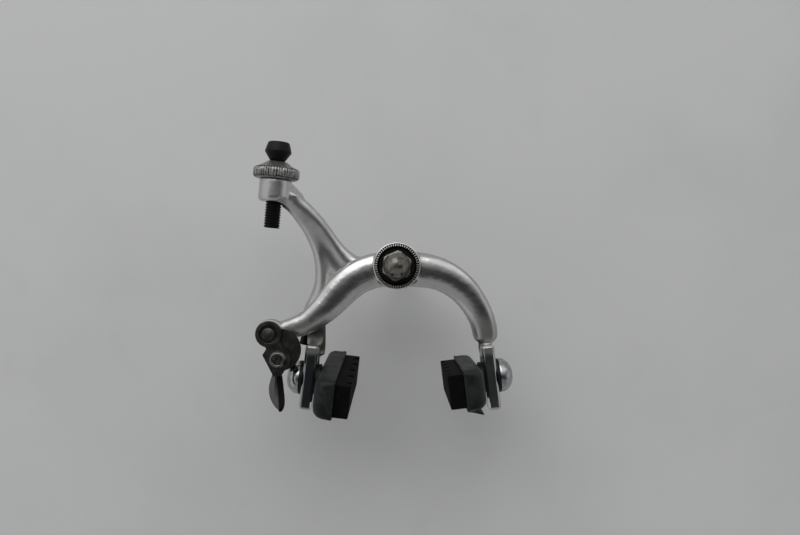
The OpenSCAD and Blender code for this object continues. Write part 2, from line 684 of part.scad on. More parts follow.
module shoe_holder(guide) {
    end_r = 6;
    guide_len = 14;
    color([0.25, 0.26, 0.27]) translate([0, 0, -holder_drop]) difference() {
        union() {
            skin(concat([holder_ring(holder_half - holder_wall, holder_depth, holder_h, 3)],
                [for (a = [0:15:75]) holder_ring(-holder_half + end_r - end_r * sin(a),
                    holder_depth - 3.4 * (1 - cos(a)), holder_h - 2 * (1 - cos(a)), 3)],
                [holder_ring(-holder_half, holder_depth - 3.4, holder_h - 2.6, 2.4)]));
            if (guide) translate([holder_open_x, guide_len - holder_half + 3, -holder_h / 2])
                rotate([90, 0, 0]) linear_extrude(guide_len)
                    polygon([[0, join], [0, -0.2], [-6.2, -2.4], [-6.2, -1.5], [-2, join]]);
        }
        translate([holder_open_x - 4, -pad_len / 2, -pad_h / 2])
            cube([4 + past, pad_len + 2 * past, pad_h]);
        translate([0, 0, holder_drop]) rotate([0, 90, 0])
            cylinder(r = shoe_bolt_d / 2 + run_gap, h = holder_open_x - 3);
    }
}

module brake_pad() {
    base = 3.8;
    pitch = pad_len / pad_grooves;
    groove = 2;
    color([0.07, 0.07, 0.07]) translate([holder_open_x - base, 0, -holder_drop]) difference() {
        translate([0, -pad_len / 2 + 0.1, -pad_h / 2 + 0.1])
            cube([base + pad_out, pad_len - 0.2, pad_h - 0.2]);
        for (k = [0:pad_grooves - 1])
            translate([base + pad_out - groove, -pad_len / 2 + (k + 0.5) * pitch - groove / 2, -pad_h])
                cube([groove + past, groove, 2 * pad_h]);
    }
}

module shoe_bolt() {
    color([0.6, 0.6, 0.6]) translate([dome_seat_x - 4, 0, 0]) rotate([0, 90, 0])
        cylinder(d = shoe_bolt_d, h = stud_head_x - dome_seat_x + 4);
}

module shoe_washer(x, t, d) {
    color([0.3, 0.3, 0.3]) translate([x, 0, 0]) rotate([0, 90, 0]) difference() {
        cylinder(d = d, h = t);
        translate([0, 0, -past]) cylinder(r = shoe_bolt_d / 2 + run_gap, h = t + 2 * past);
    }
}

module dome_nut() {
    socket_af = 5;
    socket_depth = 1.2;
    color([0.8, 0.8, 0.82]) translate([dome_seat_x, 0, 0]) rotate([0, -90, 0]) difference() {
        rotate_extrude() polygon(concat([[0, 0]],
            [for (a = [0:10:80]) [dome_d / 2 * cos(a), 0.4 + (dome_h - 0.4) * sin(a)]],
            [[0, dome_h]]));
        translate([0, 0, -past]) cylinder(r = shoe_bolt_d / 2 + run_gap, h = 3.8 + past + 0.2);
        translate([0, 0, dome_h - socket_depth])
            cylinder(d = socket_af / cos(30), h = past + socket_depth, $fn = 6);
    }
}

module left_place() {
    at_left_tab() translate([0, 0, left_shoe_up]) rotate([left_pitch, 0, 0]) children();
}
module right_place() {
    at_right_tab() translate([0, 0, right_shoe_up]) rotate([right_pitch, 0, 0])
        mirror([1, 0, 0]) children();
}

module left_shoe_holder() { left_place() shoe_holder(false); }
module left_brake_pad() { left_place() brake_pad(); }
module left_shoe_bolt() { left_place() shoe_bolt(); }
module left_inner_washer() { left_place() shoe_washer(tab_t / 2, inner_washer_t, inner_washer_d); }
module left_outer_washer() { left_place() shoe_washer(dome_seat_x, outer_washer_t, dome_d); }
module left_dome_nut() { left_place() dome_nut(); }
module right_shoe_holder() { right_place() shoe_holder(true); }
module right_brake_pad() { right_place() brake_pad(); }
module right_shoe_bolt() { right_place() shoe_bolt(); }
module right_inner_washer() { right_place() shoe_washer(tab_t / 2, inner_washer_t, inner_washer_d); }
module right_outer_washer() { right_place() shoe_washer(dome_seat_x, outer_washer_t, dome_d); }
module right_dome_nut() { right_place() dome_nut(); }

pivot_bolt();
crown_washer();
return_spring();
rear_washer();
middle_washer();
serrated_dial();
adjusting_nut();
pivot_acorn_nut();
rear_arm();
front_arm();
spring_sleeve_left();
spring_sleeve_right();
adjuster_barrel();
adjuster_wheel();
quick_release_lever();
lever_rivet();
spring_washer();
anchor_bolt();
anchor_washer();
clamp_washer();
anchor_nut();
left_shoe_holder();
left_brake_pad();
left_shoe_bolt();
left_inner_washer();
left_outer_washer();
left_dome_nut();
right_shoe_holder();
right_brake_pad();
right_shoe_bolt();
right_inner_washer();
right_outer_washer();
right_dome_nut();
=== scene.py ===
"""Looks of a side-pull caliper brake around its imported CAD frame, in metres."""
import math

import bmesh
import bpy
from mathutils import Matrix, Vector, noise


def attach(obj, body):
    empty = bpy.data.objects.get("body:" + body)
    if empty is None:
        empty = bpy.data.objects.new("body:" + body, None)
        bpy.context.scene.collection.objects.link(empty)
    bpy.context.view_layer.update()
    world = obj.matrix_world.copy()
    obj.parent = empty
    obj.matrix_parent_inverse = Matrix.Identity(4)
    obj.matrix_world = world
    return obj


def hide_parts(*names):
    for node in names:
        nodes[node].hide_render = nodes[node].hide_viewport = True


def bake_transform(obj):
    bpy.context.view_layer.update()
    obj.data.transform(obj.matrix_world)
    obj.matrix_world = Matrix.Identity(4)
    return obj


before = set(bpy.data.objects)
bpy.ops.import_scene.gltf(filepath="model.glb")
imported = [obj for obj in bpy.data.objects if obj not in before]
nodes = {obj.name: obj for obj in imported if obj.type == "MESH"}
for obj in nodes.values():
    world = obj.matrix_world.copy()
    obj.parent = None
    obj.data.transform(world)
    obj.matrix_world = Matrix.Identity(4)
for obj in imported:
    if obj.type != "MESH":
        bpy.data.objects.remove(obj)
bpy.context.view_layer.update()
MM = 0.001


# ---------------------------------------------------------------- places, in mm and degrees
def at(x, y, z):
    """A shift in millimetres."""
    return Matrix.Translation((x * MM, y * MM, z * MM))


def turned(angle, axis):
    """A turn about an axis through the origin, in degrees."""
    return Matrix.Rotation(math.radians(angle), 4, axis)


FRONT = turned(90, "X")  # a lathe's axis towards the viewer
OUTWARD = turned(-90, "Y")  # a lathe's axis away from the wheel, on the left
EYE = (-47.4, -25.2)  # X and Z of the lever's pivot
ANCHOR = (-43.9, -34.5)  # X and Z of the cable's anchor
LEVER_FRONT, LEVER_BACK = -27.2, -25.0
DIAL_BACK = -25.2
ADJUSTER_AT, ADJUSTER_TILT = (-45.4, -21.8, 32.4), 5.1
ADJUSTER = at(*ADJUSTER_AT) @ turned(ADJUSTER_TILT, "Y")
TAB_Y, TAB_WIDTH, TAB_DEPTH = -16.8, 4.86, 13
TAB_LOW, TAB_HIGH = -12, 12.5
LEFT_TAB = at(-33.1, TAB_Y, -42) @ turned(6.8, "Y")
RIGHT_TAB = at(35.3, TAB_Y, -42) @ turned(-6.8, "Y")
LEFT_SHOE = LEFT_TAB @ at(0, 0, -0.8) @ turned(6, "X")
RIGHT_SHOE = RIGHT_TAB @ turned(-0.5, "X") @ Matrix.Scale(-1, 4, (1, 0, 0))
VOXEL = 0.34 * MM
CAMERA_AT = (1.14, -313.4, -0.59)


# ---------------------------------------------------------------- shader maths
class Wave:
    """An output socket whose arithmetic adds Math nodes."""

    def __init__(self, finish, socket):
        self.finish, self.socket = finish, socket

    def math(self, operation, *others):
        """One Math node that starts with this socket."""
        return self.finish.node("ShaderNodeMath", dict(operation=operation),
                                dict(enumerate((self,) + others)))

    def __add__(self, other):
        return self.math("ADD", other)

    def __sub__(self, other):
        return self.math("SUBTRACT", other)

    def __rsub__(self, other):
        return self.finish.node("ShaderNodeMath", dict(operation="SUBTRACT"),
                                {0: other, 1: self})

    def __mul__(self, other):
        return self.math("MULTIPLY", other)

    __radd__, __rmul__ = __add__, __mul__

    def step(self, low, high, start=0.0, end=1.0):
        """Smooth rise from start to end while this goes from low to high."""
        return self.finish.node("ShaderNodeMapRange", dict(interpolation_type="SMOOTHSTEP"),
                                {"Value": self, "From Min": low, "From Max": high,
                                 "To Min": start, "To Max": end}, "Result")


class Finish:
    """A surface under construction: one Principled shader and its nodes."""

    def __init__(self, name, color, roughness, metallic=1.0, tree=None, **constants):
        if tree is None:
            self.material = bpy.data.materials.new(name)
            self.material.use_nodes = True
            tree = self.material.node_tree
            self.shader = tree.nodes["Principled BSDF"]
            self.shader.inputs["Base Color"].default_value = (*color, 1)
            self.shader.inputs["Roughness"].default_value = roughness
            self.shader.inputs["Metallic"].default_value = metallic
            for key, value in constants.items():
                self.shader.inputs[key.replace("_", " ")].default_value = value
        self.tree = tree

    def node(self, kind, settings=None, sockets=None, output=0):
        """A node of this kind, its settings made first, then its sockets."""
        made = self.tree.nodes.new(kind)
        for key, value in (settings or {}).items():
            setattr(made, key, value)
        for key, value in (sockets or {}).items():
            self.feed(made.inputs[key], value)
        return Wave(self, made.outputs[output])

    def feed(self, socket, value):
        """Links a wave to a socket, or sets its constant."""
        if isinstance(value, Wave):
            self.tree.links.new(value.socket, socket)
        else:
            socket.default_value = value

    def set(self, socket, value):
        self.feed(self.shader.inputs[socket], value)

    def place(self):
        """Object coordinates."""
        return self.node("ShaderNodeTexCoord", output="Object")

    def axes(self, centre=(0, 0, 0), turn=(0, 0, 0)):
        """The three parts of the object coordinates from a centre, in metres."""
        return self.parts(self.node("ShaderNodeMapping", dict(vector_type="TEXTURE"),
                                    {"Vector": self.place(), "Location": centre,
                                     "Rotation": turn}))

    def parts(self, vector):
        """X, Y and Z of a vector."""
        split = self.node("ShaderNodeSeparateXYZ", None, {0: vector}).socket.node
        return [Wave(self, output) for output in split.outputs]

    def stretched(self, sx, sy, sz, turn=(0, 0, 0)):
        """Object coordinates scaled on each axis after a turn."""
        return self.node("ShaderNodeMapping", dict(vector_type="POINT"),
                         {"Vector": self.place(), "Scale": (sx, sy, sz), "Rotation": turn})

    def cloud(self, scale, detail=3.0, rough=0.55, vector=None, distortion=0.0):
        """Noise from 0 to 1; scale is in waves per metre."""
        return self.node("ShaderNodeTexNoise", None,
                         {"Vector": vector or self.place(), "Scale": scale, "Detail": detail,
                          "Roughness": rough, "Distortion": distortion}, "Fac")

    def blend(self, mask, first, second):
        """Colour mix: first where the mask is 0."""
        mix = self.tree.nodes.new("ShaderNodeMix")
        mix.data_type = "RGBA"
        self.feed(mix.inputs["Factor"], mask)
        for key, value in (("A", first), ("B", second)):
            socket = next(s for s in mix.inputs if s.name == key and s.type == "RGBA")
            self.feed(socket, value if isinstance(value, Wave) else (*value, 1))
        return Wave(self, next(s for s in mix.outputs if s.type == "RGBA"))

    def bump(self, height, strength, distance, normal=None):
        sockets = {"Height": height, "Strength": strength, "Distance": distance}
        if normal:
            sockets["Normal"] = normal
        return self.node("ShaderNodeBump", None, sockets)


def forged_alloy():
    """Satin polished forging with faint scratches, stains and soft waves.

    Its tabs are glossier, with a front face painted darker and bluer as a painted reflection,
    darker on the left tab as painted shade; the scooped arm is more matt, and above the tabs,
    most of all behind the front arm, it is darker, browner and more matt.
    """
    f = Finish("forged_alloy", (0.78, 0.78, 0.79), 0.25)
    x, y, z = f.axes()
    stain = f.cloud(120, 4).step(0.48, 0.74)
    speck = f.cloud(1500, 2).step(0.64, 0.78)
    scratch = f.cloud(420, 5, 0.7, f.stretched(1, 0.35, 7, (0, 0.5, 0)))
    # Darker, browner and more matt above the tabs, most of all behind the front arm, in mottled
    # patches.
    dark_above_tabs = (z.step(-0.034, -0.0315) * z.step(-0.023, -0.016, 1.0, 0.0)
            * (y.step(-0.0190, -0.0160) * 0.7 + 0.3) * f.cloud(330, 4).step(0.05, 0.45))
    tab = z.step(-0.0345, -0.0325, 1.0, 0.0)
    # The tabs' front faces are painted darker and bluer as a painted reflection of dark
    # surroundings, and darker on the left tab than the right as painted shade.
    tab_front = (TAB_Y - TAB_DEPTH / 2) * MM
    face = y.step(tab_front + 0.00015, tab_front + 0.0003, 1.0, 0.0) * tab
    scoop = (z - x * 0.9).step(0.0155, 0.0190)
    bright = f.blend(stain * 0.45 + speck * 0.15, (0.56, 0.56, 0.555), (0.33, 0.325, 0.31))
    painted_tab_reflection = f.blend(x.step(-0.01, 0.01), (0.26, 0.285, 0.31), (0.50, 0.52, 0.525))
    bright = f.blend(face, bright, painted_tab_reflection)
    f.set("Base Color", f.blend(dark_above_tabs, bright, (0.085, 0.078, 0.062)))
    f.set("Roughness", 0.13 + scratch * 0.14 + stain * 0.10 + dark_above_tabs * 0.4 - tab * 0.07
          + scoop * 0.10)
    f.set("Metallic", 1.0 - dark_above_tabs * 0.4)
    wave = f.bump(f.cloud(190, 2) + f.cloud(620, 3) * 0.25, 0.4, 0.0003)
    f.set("Normal", f.bump(scratch + f.cloud(2600, 2) * 0.5, 0.06, 0.00006, wave))
    return f.material


def bright_chrome():
    """Polished plate gone grey, with small pits and hazy patches."""
    f = Finish("bright_chrome", (0.45, 0.46, 0.46), 0.2)
    haze = f.cloud(500, 3).step(0.40, 0.66)
    f.set("Base Color", f.blend(haze * 0.7, (0.45, 0.46, 0.47), (0.24, 0.25, 0.25)))
    f.set("Roughness", 0.15 + haze * 0.16)
    f.set("Normal", f.bump(f.cloud(700, 3), 0.12, 0.0001))
    return f.material


def worn_plate(name, bright, dull, rough, patch=420, wear=(0.4, 0.68)):
    """Plated steel that has worn through in patches."""
    f = Finish(name, bright, rough)
    worn = f.cloud(patch, 4, 0.6).step(*wear)
    grain = f.cloud(2400, 3)
    f.set("Base Color", f.blend(worn, bright, dull))
    f.set("Roughness", rough + worn * 0.18 + grain * 0.1)
    f.set("Metallic", 1.0 - worn * 0.25)
    f.set("Normal", f.bump(grain * 0.6 + worn * 0.4, 0.25, 0.00012))
    return f.material


def dark_lever():
    """Dark, grainy steel with fine pits; the blade's left facet is painted lighter as a painted
    highlight and its right facet near black as painted shade.
    """
    f = Finish("dark_lever", (0.06, 0.06, 0.06), 0.35, 0.95)
    x, _, z = f.axes()
    grain = f.cloud(2600, 4, 0.7)
    patch = f.cloud(260, 3).step(0.4, 0.7)
    pits = f.cloud(3800, 1).step(0.6, 0.74)
    mottled = f.blend(patch * 0.35 + pits * 0.5, (0.034, 0.034, 0.032), (0.14, 0.138, 0.128))
    # The blade is split along its ridge: the left facet is painted lighter as a painted highlight,
    # the right facet near black as painted shade.
    blade = z.step(-0.0415, -0.0400, 1.0, 0.0)
    left_of_ridge = (x + z * 0.11).step(-0.0494, -0.0486, 1.0, 0.0)
    painted_lit_facet = blade * left_of_ridge * (0.75 - pits * 0.5)
    mottled_with_painted_shade = f.blend(blade * (1.0 - left_of_ridge), mottled, (0.012, 0.012, 0.012))
    f.set("Base Color", f.blend(painted_lit_facet, mottled_with_painted_shade, (0.15, 0.15, 0.145)))
    f.set("Roughness", 0.30 + grain * 0.2 - painted_lit_facet * 0.2)
    f.set("Normal", f.bump(grain, 0.4, 0.00012))
    return f.material


def dark_alloy():
    """Dark grey satin holder with mottled stains."""
    f = Finish("dark_alloy", (0.07, 0.075, 0.08), 0.5, 0.65)
    blot = f.cloud(210, 4, 0.6, distortion=0.6).step(0.35, 0.7)
    fine = f.cloud(1900, 3)
    f.set("Base Color", f.blend(blot, (0.012, 0.0135, 0.014), (0.029, 0.0315, 0.0315)))
    f.set("Roughness", 0.42 + blot * 0.16 + fine * 0.08)
    f.set("Normal", f.bump(fine, 0.2, 0.0001))
    return f.material


def black_rubber():
    """Matte rubber, dusty and slightly pitted."""
    f = Finish("black_rubber", (0.02, 0.02, 0.022), 0.75, 0.0, Specular_IOR_Level=0.06)
    dust = f.cloud(260, 5, 0.65).step(0.45, 0.75)
    pit = f.cloud(2100, 3)
    f.set("Base Color", f.blend(dust * 0.5, (0.003, 0.003, 0.003), (0.011, 0.011, 0.0115)))
    f.set("Roughness", 0.6 + pit * 0.25)
    f.set("Normal", f.bump(pit, 0.35, 0.0002))
    return f.material


def black_satin(name, color, rough):
    """Black finish with fine grain and faint rubbed places."""
    f = Finish(name, color, rough, 0.0, Specular_IOR_Level=0.18)
    grain = f.cloud(1800, 3)
    rub = f.cloud(500, 3).step(0.55, 0.75)
    f.set("Base Color", f.blend(rub * 0.5, color, tuple(c + 0.012 for c in color)))
    f.set("Roughness", rough - 0.05 + grain * 0.15)
    f.set("Normal", f.bump(grain, 0.15, 0.00008))
    return f.material


def knurled_metal():
    """Dull worn metal whose knurling grooves are painted near black as painted shade."""
    f = Finish("wheel_metal", (0.3, 0.3, 0.3), 0.4)
    x, y, z = f.axes([c * MM for c in ADJUSTER_AT], (0, math.radians(ADJUSTER_TILT), 0))
    radius = (x * x + y * y).math("SQRT")
    # The grooves between the ridges are painted near black as painted shade.
    groove = z.step(0.0003, 0.0007) * z.step(0.0039, 0.0044, 1.0, 0.0) * radius.step(
        0.0081, 0.0085, 1.0, 0.0)
    worn = f.cloud(900, 4, 0.6).step(0.4, 0.68)
    f.set("Base Color", f.blend(groove, f.blend(worn, (0.40, 0.40, 0.385), (0.13, 0.13, 0.12)),
                                (0.012, 0.012, 0.011)))
    f.set("Roughness", 0.36 + worn * 0.2)
    f.set("Normal", f.bump(f.cloud(2400, 3) + worn, 0.3, 0.00012))
    return f.material


def dial_steel():
    """A bright worn rim round a crown whose notches and floor are painted near black as painted
    shade.
    """
    f = Finish("dial_steel", (0.3, 0.3, 0.3), 0.3)
    x, y, z = f.axes()
    radius = (x * x + z * z).math("SQRT")
    grime = f.cloud(600, 3)
    # Below the tooth crests and inside the rim the cup is painted near black as painted shade,
    # mottled by grime and made more matt.
    inside = y.step(-0.0281, -0.0277) * radius.step(0.0083, 0.0084, 1.0, 0.0)
    teeth = f.blend(grime, (0.62, 0.61, 0.59), (0.40, 0.39, 0.37))
    steel = f.blend(radius.step(0.0082, 0.0083), teeth, (0.78, 0.77, 0.75))
    grimy_painted_shade = f.blend(grime, (0.005, 0.005, 0.005), (0.022, 0.020, 0.019))
    f.set("Base Color", f.blend(inside, steel, grimy_painted_shade))
    f.set("Roughness", 0.18 + inside * 0.25 + grime * 0.08)
    f.set("Metallic", 1.0 - inside * 0.4)
    f.set("Normal", f.bump(grime, 0.2, 0.0001))
    return f.material


ALLOY = forged_alloy()
CHROME = bright_chrome()
NUT = worn_plate("nut_steel", (0.23, 0.222, 0.20), (0.085, 0.078, 0.066), 0.2)
BOLT = worn_plate("bolt_steel", (0.19, 0.187, 0.178), (0.09, 0.087, 0.08), 0.12, 1500,
                  (0.45, 0.65))
# The shoe washers are given this near-black finish as painted shade: it stands in for the dark
# line of shadow at the base of the dome nuts.
WASHER_PAINTED_SHADE = black_satin("washer_painted_shade", (0.008, 0.008, 0.008), 0.4)
LOCK = worn_plate("lock_steel", (0.16, 0.15, 0.14), (0.03, 0.03, 0.028), 0.35, 700)
DIAL = dial_steel()
WHEEL = knurled_metal()
SPRING = worn_plate("spring_steel", (0.55, 0.55, 0.55), (0.30, 0.30, 0.29), 0.25, 600)
BRASS = worn_plate("washer_brass", (0.62, 0.48, 0.22), (0.30, 0.22, 0.11), 0.3)
LEVER = dark_lever()
HOLDER = dark_alloy()
RUBBER = black_rubber()
BARREL = black_satin("black_barrel", (0.004, 0.004, 0.0045), 0.42)
SLEEVE = black_satin("sleeve_plastic", (0.006, 0.006, 0.006), 0.5)


# ---------------------------------------------------------------- mesh helpers
def shown(name, data):
    """An object in the scene for a mesh, a lamp or a camera."""
    made = bpy.data.objects.new(name, data)
    bpy.context.scene.collection.objects.link(made)
    return made


def mesh_of(name, bm):
    """A mesh with bm's shape; bm is freed."""
    mesh = bpy.data.meshes.new(name)
    bm.to_mesh(mesh)
    bm.free()
    return mesh


def solid_of(node):
    """A merged copy of a CAD node's mesh."""
    bm = bmesh.new()
    bm.from_mesh(nodes[node].data)
    bmesh.ops.remove_doubles(bm, verts=bm.verts, dist=2e-6)
    return bm


def piece(name, bm, body, material, replaced=(), place=None, sharp=32, bevel=None):
    """Makes a mesh into a shown piece that stands for CAD nodes and, with a body, rides on it."""
    if place:
        bm.transform(place)
    mesh = mesh_of(name, bm)
    mesh.shade_smooth()
    mesh.set_sharp_from_angle(angle=math.radians(sharp))
    mesh.materials.append(material)
    made = shown(name, mesh)
    if bevel:
        edge = made.modifiers.new("edge", "BEVEL")
        edge.width, edge.segments, edge.limit_method = bevel * MM, 3, "ANGLE"
        edge.angle_limit = math.radians(sharp)
        edge.harden_normals = True
    if body:
        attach(made, body)
    if replaced:
        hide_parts(*replaced)
    return made


def lathe(profile, steps=96):
    """Closed turned shape round Z from (radius, height) points in millimetres."""
    bm = bmesh.new()
    points = [bm.verts.new((r * MM, 0, h * MM)) for r, h in profile]
    edges = [bm.edges.new(pair) for pair in zip(points, points[1:])]
    bmesh.ops.spin(bm, geom=points + edges, cent=(0, 0, 0), axis=(0, 0, 1),
                   angle=math.tau, steps=steps, use_merge=True, use_duplicate=False)
    bmesh.ops.remove_doubles(bm, verts=bm.verts, dist=1e-7)
    bmesh.ops.recalc_face_normals(bm, faces=bm.faces)
    return bm


def arc(cx, cz, radius, start, end, count):
    """Points of an arc for a lathe profile; angles in degrees from outwards to up."""
    return [(cx + radius * math.cos(math.radians(start + (end - start) * k / count)),
             cz + radius * math.sin(math.radians(start + (end - start) * k / count)))
            for k in range(count + 1)]


def dressed(node, name, body, material, sharp=32, bevel=0.15):
    """A CAD node's own shape with merged faces and softened edges."""
    bm = solid_of(node)
    bmesh.ops.dissolve_limit(bm, angle_limit=math.radians(0.4), verts=bm.verts, edges=bm.edges)
    return piece(name, bm, body, material, (node,), sharp=sharp, bevel=bevel)


def joined(*parts):
    """Several closed meshes as one."""
    whole = bmesh.new()
    for part in parts:
        mesh = mesh_of("part", part)
        whole.from_mesh(mesh)
        bpy.data.meshes.remove(mesh)
    return whole


def trimmed(bm, place, outward):
    """Removes what lies beyond a plane, and closes the shape there."""
    split = bmesh.ops.bisect_plane(bm, geom=bm.verts[:] + bm.edges[:] + bm.faces[:],
                                   plane_co=place, plane_no=outward, clear_outer=True)
    rim = [e for e in split["geom_cut"] if isinstance(e, bmesh.types.BMEdge)]
    bmesh.ops.edgeloop_fill(bm, edges=rim)


def pushed(bm, way):
    """Extrudes all of a flat shape's faces by a vector in metres."""
    grown = bmesh.ops.extrude_face_region(bm, geom=bm.faces[:])
    far = [g for g in grown["geom"] if isinstance(g, bmesh.types.BMVert)]
    bmesh.ops.translate(bm, vec=way, verts=far)
    bmesh.ops.recalc_face_normals(bm, faces=bm.faces)


# ---------------------------------------------------------------- forged arms
def shaped(bm, modifier, **settings):
    """The shape after one modifier; frees what went in."""
    blank = shown("blank", mesh_of("blank", bm))
    step = blank.modifiers.new("step", modifier)
    for key, value in settings.items():
        setattr(step, key, value)
    bpy.context.view_layer.update()
    shape = bpy.data.meshes.new_from_object(
        blank.evaluated_get(bpy.context.evaluated_depsgraph_get()))
    made = bmesh.new()
    made.from_mesh(shape)
    bpy.data.objects.remove(blank)
    return made


def cut(bm, tool):
    """bm less the closed shape tool."""
    cutter = shown("tool", mesh_of("tool", tool))
    made = shaped(bm, "BOOLEAN", operation="DIFFERENCE", object=cutter, solver="EXACT")
    bpy.data.objects.remove(cutter)
    return made


def block(width, depth, low, high):
    """Box centred on X and Y, in millimetres."""
    bm = bmesh.new()
    bmesh.ops.create_cube(bm, size=1)
    bmesh.ops.scale(bm, vec=(width * MM, depth * MM, (high - low) * MM), verts=bm.verts)
    bmesh.ops.translate(bm, vec=(0, 0, (high + low) / 2 * MM), verts=bm.verts)
    return bm


def soften(verts, bm, times):
    """Evens out the surface at these vertices, more so with more times."""
    for _ in range(times):
        bmesh.ops.smooth_vert(bm, verts=verts, factor=0.5, use_axis_x=True,
                              use_axis_y=True, use_axis_z=True)


def slotted_tab():
    """A tab with rounded edges and its slot, before it leans."""
    tab = block(TAB_WIDTH, TAB_DEPTH, TAB_LOW, TAB_HIGH)
    for offset, segments in ((0.85, 1), (0.3, 3)):
        bmesh.ops.bevel(tab, geom=tab.edges[:], offset=offset * MM, affect="EDGES",
                        segments=segments, profile=0.5, material=-1)
    slot = bmesh.new()
    bmesh.ops.create_circle(slot, cap_ends=True, cap_tris=False, segments=48, radius=3.2 * MM)
    for v in slot.verts:
        v.co.y += math.copysign(4.8 * MM, v.co.y)
    slot.transform(turned(90, "X") @ turned(90, "Y") @ at(0, 0, -4))
    pushed(slot, (8 * MM, 0, 0))
    return cut(tab, slot)


def forging(node, name, body, tab_place, channel=(), fillets=()):
    """An arm as one smooth forging with a crisp tab; channel is (x0, x1, z0, z1) of a recess."""
    blank = solid_of(node)
    for x, y, z, radius in fillets:
        bmesh.ops.create_icosphere(blank, subdivisions=3, radius=radius * MM, matrix=at(x, y, z))
    bm = shaped(blank, "REMESH", mode="VOXEL", voxel_size=VOXEL)
    bm.normal_update()
    boss, boss_reach, hub_reach = ADJUSTER.translation, 9 * MM, 9.5 * MM
    firm = {v for v in bm.verts if (v.co - boss).length < boss_reach
            or (abs(v.co.x) < hub_reach and abs(v.co.z) < hub_reach)}
    soften([v for v in bm.verts if v not in firm], bm, 14)
    soften(list(firm), bm, 5)
    if channel:
        x0, x1, z0, z1 = (c * MM for c in channel)
        soften([v for v in bm.verts if v not in firm and v.normal.y < -0.1
                and x0 < v.co.x < x1 and z0 < v.co.z < z1], bm, 240)
    room = block(TAB_WIDTH + 0.14, TAB_DEPTH + 0.1, TAB_LOW - 0.5, TAB_HIGH - 0.05)
    room.transform(tab_place)
    bm = cut(bm, room)
    tab = slotted_tab()
    tab.transform(tab_place)
    made = piece(name, joined(bm, tab), body, ALLOY, (node,), sharp=70)
    even = made.modifiers.new("even", "WEIGHTED_NORMAL")
    even.weight, even.keep_sharp = 90, True


# Balls from the boss down into the arm, as (x, y, z, radius), for the fillet between them.
BOSS_FILLET = [(-43.2 + 4.6 * t, -20.0 + 5.0 * t, 30.2 - 4.6 * t, 3.4 - 0.3 * t)
               for t in (0, 0.2, 0.4, 0.6, 0.8, 1)]
forging("rear_arm", "rear_forging", "rear_arm", LEFT_TAB, (-44, -14, -18, 26), BOSS_FILLET)
forging("front_arm", "front_forging", "front_arm", RIGHT_TAB)


# ---------------------------------------------------------------- pivot front
def serrated_cup():
    """The dial: a cup with a crown of fine radial teeth inside its rim."""
    teeth, per_tooth = 56, 6
    outer, crown_low, crown_reach, tooth_depth = 8.65, 2.5, 8.15, 1.25
    bm = lathe([(3.3, 0), (outer - 0.3, 0), (outer, 0.3), (outer, 3.1), (outer - 0.12, 3.35),
                (outer - 0.3, 3.4), (8.27, 3.3), (8.21, 2.95), (8.1, 2.95), (7.5, 3.36),
                (7.3, 3.36), (7.15, 3.0), (7.0, 1.2), (6.7, 0.8), (3.3, 0.8), (3.3, 0)],
               teeth * per_tooth)
    for v in bm.verts:
        radius = math.hypot(v.co.x, v.co.y) / MM
        if v.co.z > crown_low * MM and radius < crown_reach:
            turn = math.atan2(v.co.y, v.co.x) * teeth / math.tau
            notch = abs((turn % 1.0) - 0.5) * 2
            v.co.z -= tooth_depth * MM * min(1.0, max(0.0, notch * 2.7 - 0.85))
    return bm


piece("serrated_cup", serrated_cup(), "centre_bolt", DIAL, ("serrated_dial",),
      at(0, DIAL_BACK, 0) @ FRONT, sharp=50)


# ---------------------------------------------------------------- cable adjuster
def threaded_rod(radius, depth, pitch, low, high, steps=48):
    """A rod with a helical thread between two heights, closed at both ends."""
    bm = bmesh.new()
    turns = math.ceil((high - low) / pitch) + 2
    ridge = [(radius, 0), (radius, 0.12), (radius - depth, 0.42), (radius - depth, 0.58),
             (radius, 0.88), (radius, 1)]
    points = [bm.verts.new((r * MM, 0, (low - pitch + h * pitch) * MM)) for r, h in ridge]
    edges = [bm.edges.new(pair) for pair in zip(points, points[1:])]
    bmesh.ops.spin(bm, geom=points + edges, cent=(0, 0, 0), axis=(0, 0, 1),
                   dvec=(0, 0, pitch * MM / steps), angle=math.tau * turns,
                   steps=steps * turns, use_merge=False, use_duplicate=False)
    bmesh.ops.remove_doubles(bm, verts=bm.verts, dist=2e-6)
    for height, way in ((low, -1), (high, 1)):
        trimmed(bm, (0, 0, height * MM), (0, 0, way))
    bmesh.ops.recalc_face_normals(bm, faces=bm.faces)
    return bm


head = lathe([(0, 2.2), (2.7, 2.2), (2.7, 6.8), (2.9, 7.1), (4.75, 9.85), (4.93, 10.15),
              (4.95, 10.4), (4.88, 10.8), (4.1, 13.4), (3.85, 13.85), (3.5, 14.0), (2.62, 14.0),
              (2.6, 13.9), (2.6, 9.0), (1.2, 9.0), (1.2, 8.6), (0, 8.6)])
rod = threaded_rod(radius=3.0, depth=0.42, pitch=1.0, low=-18.2, high=3.0)
piece("adjusting_barrel", joined(head, rod), "adjuster_barrel", BARREL,
      ("adjuster_barrel",), ADJUSTER)


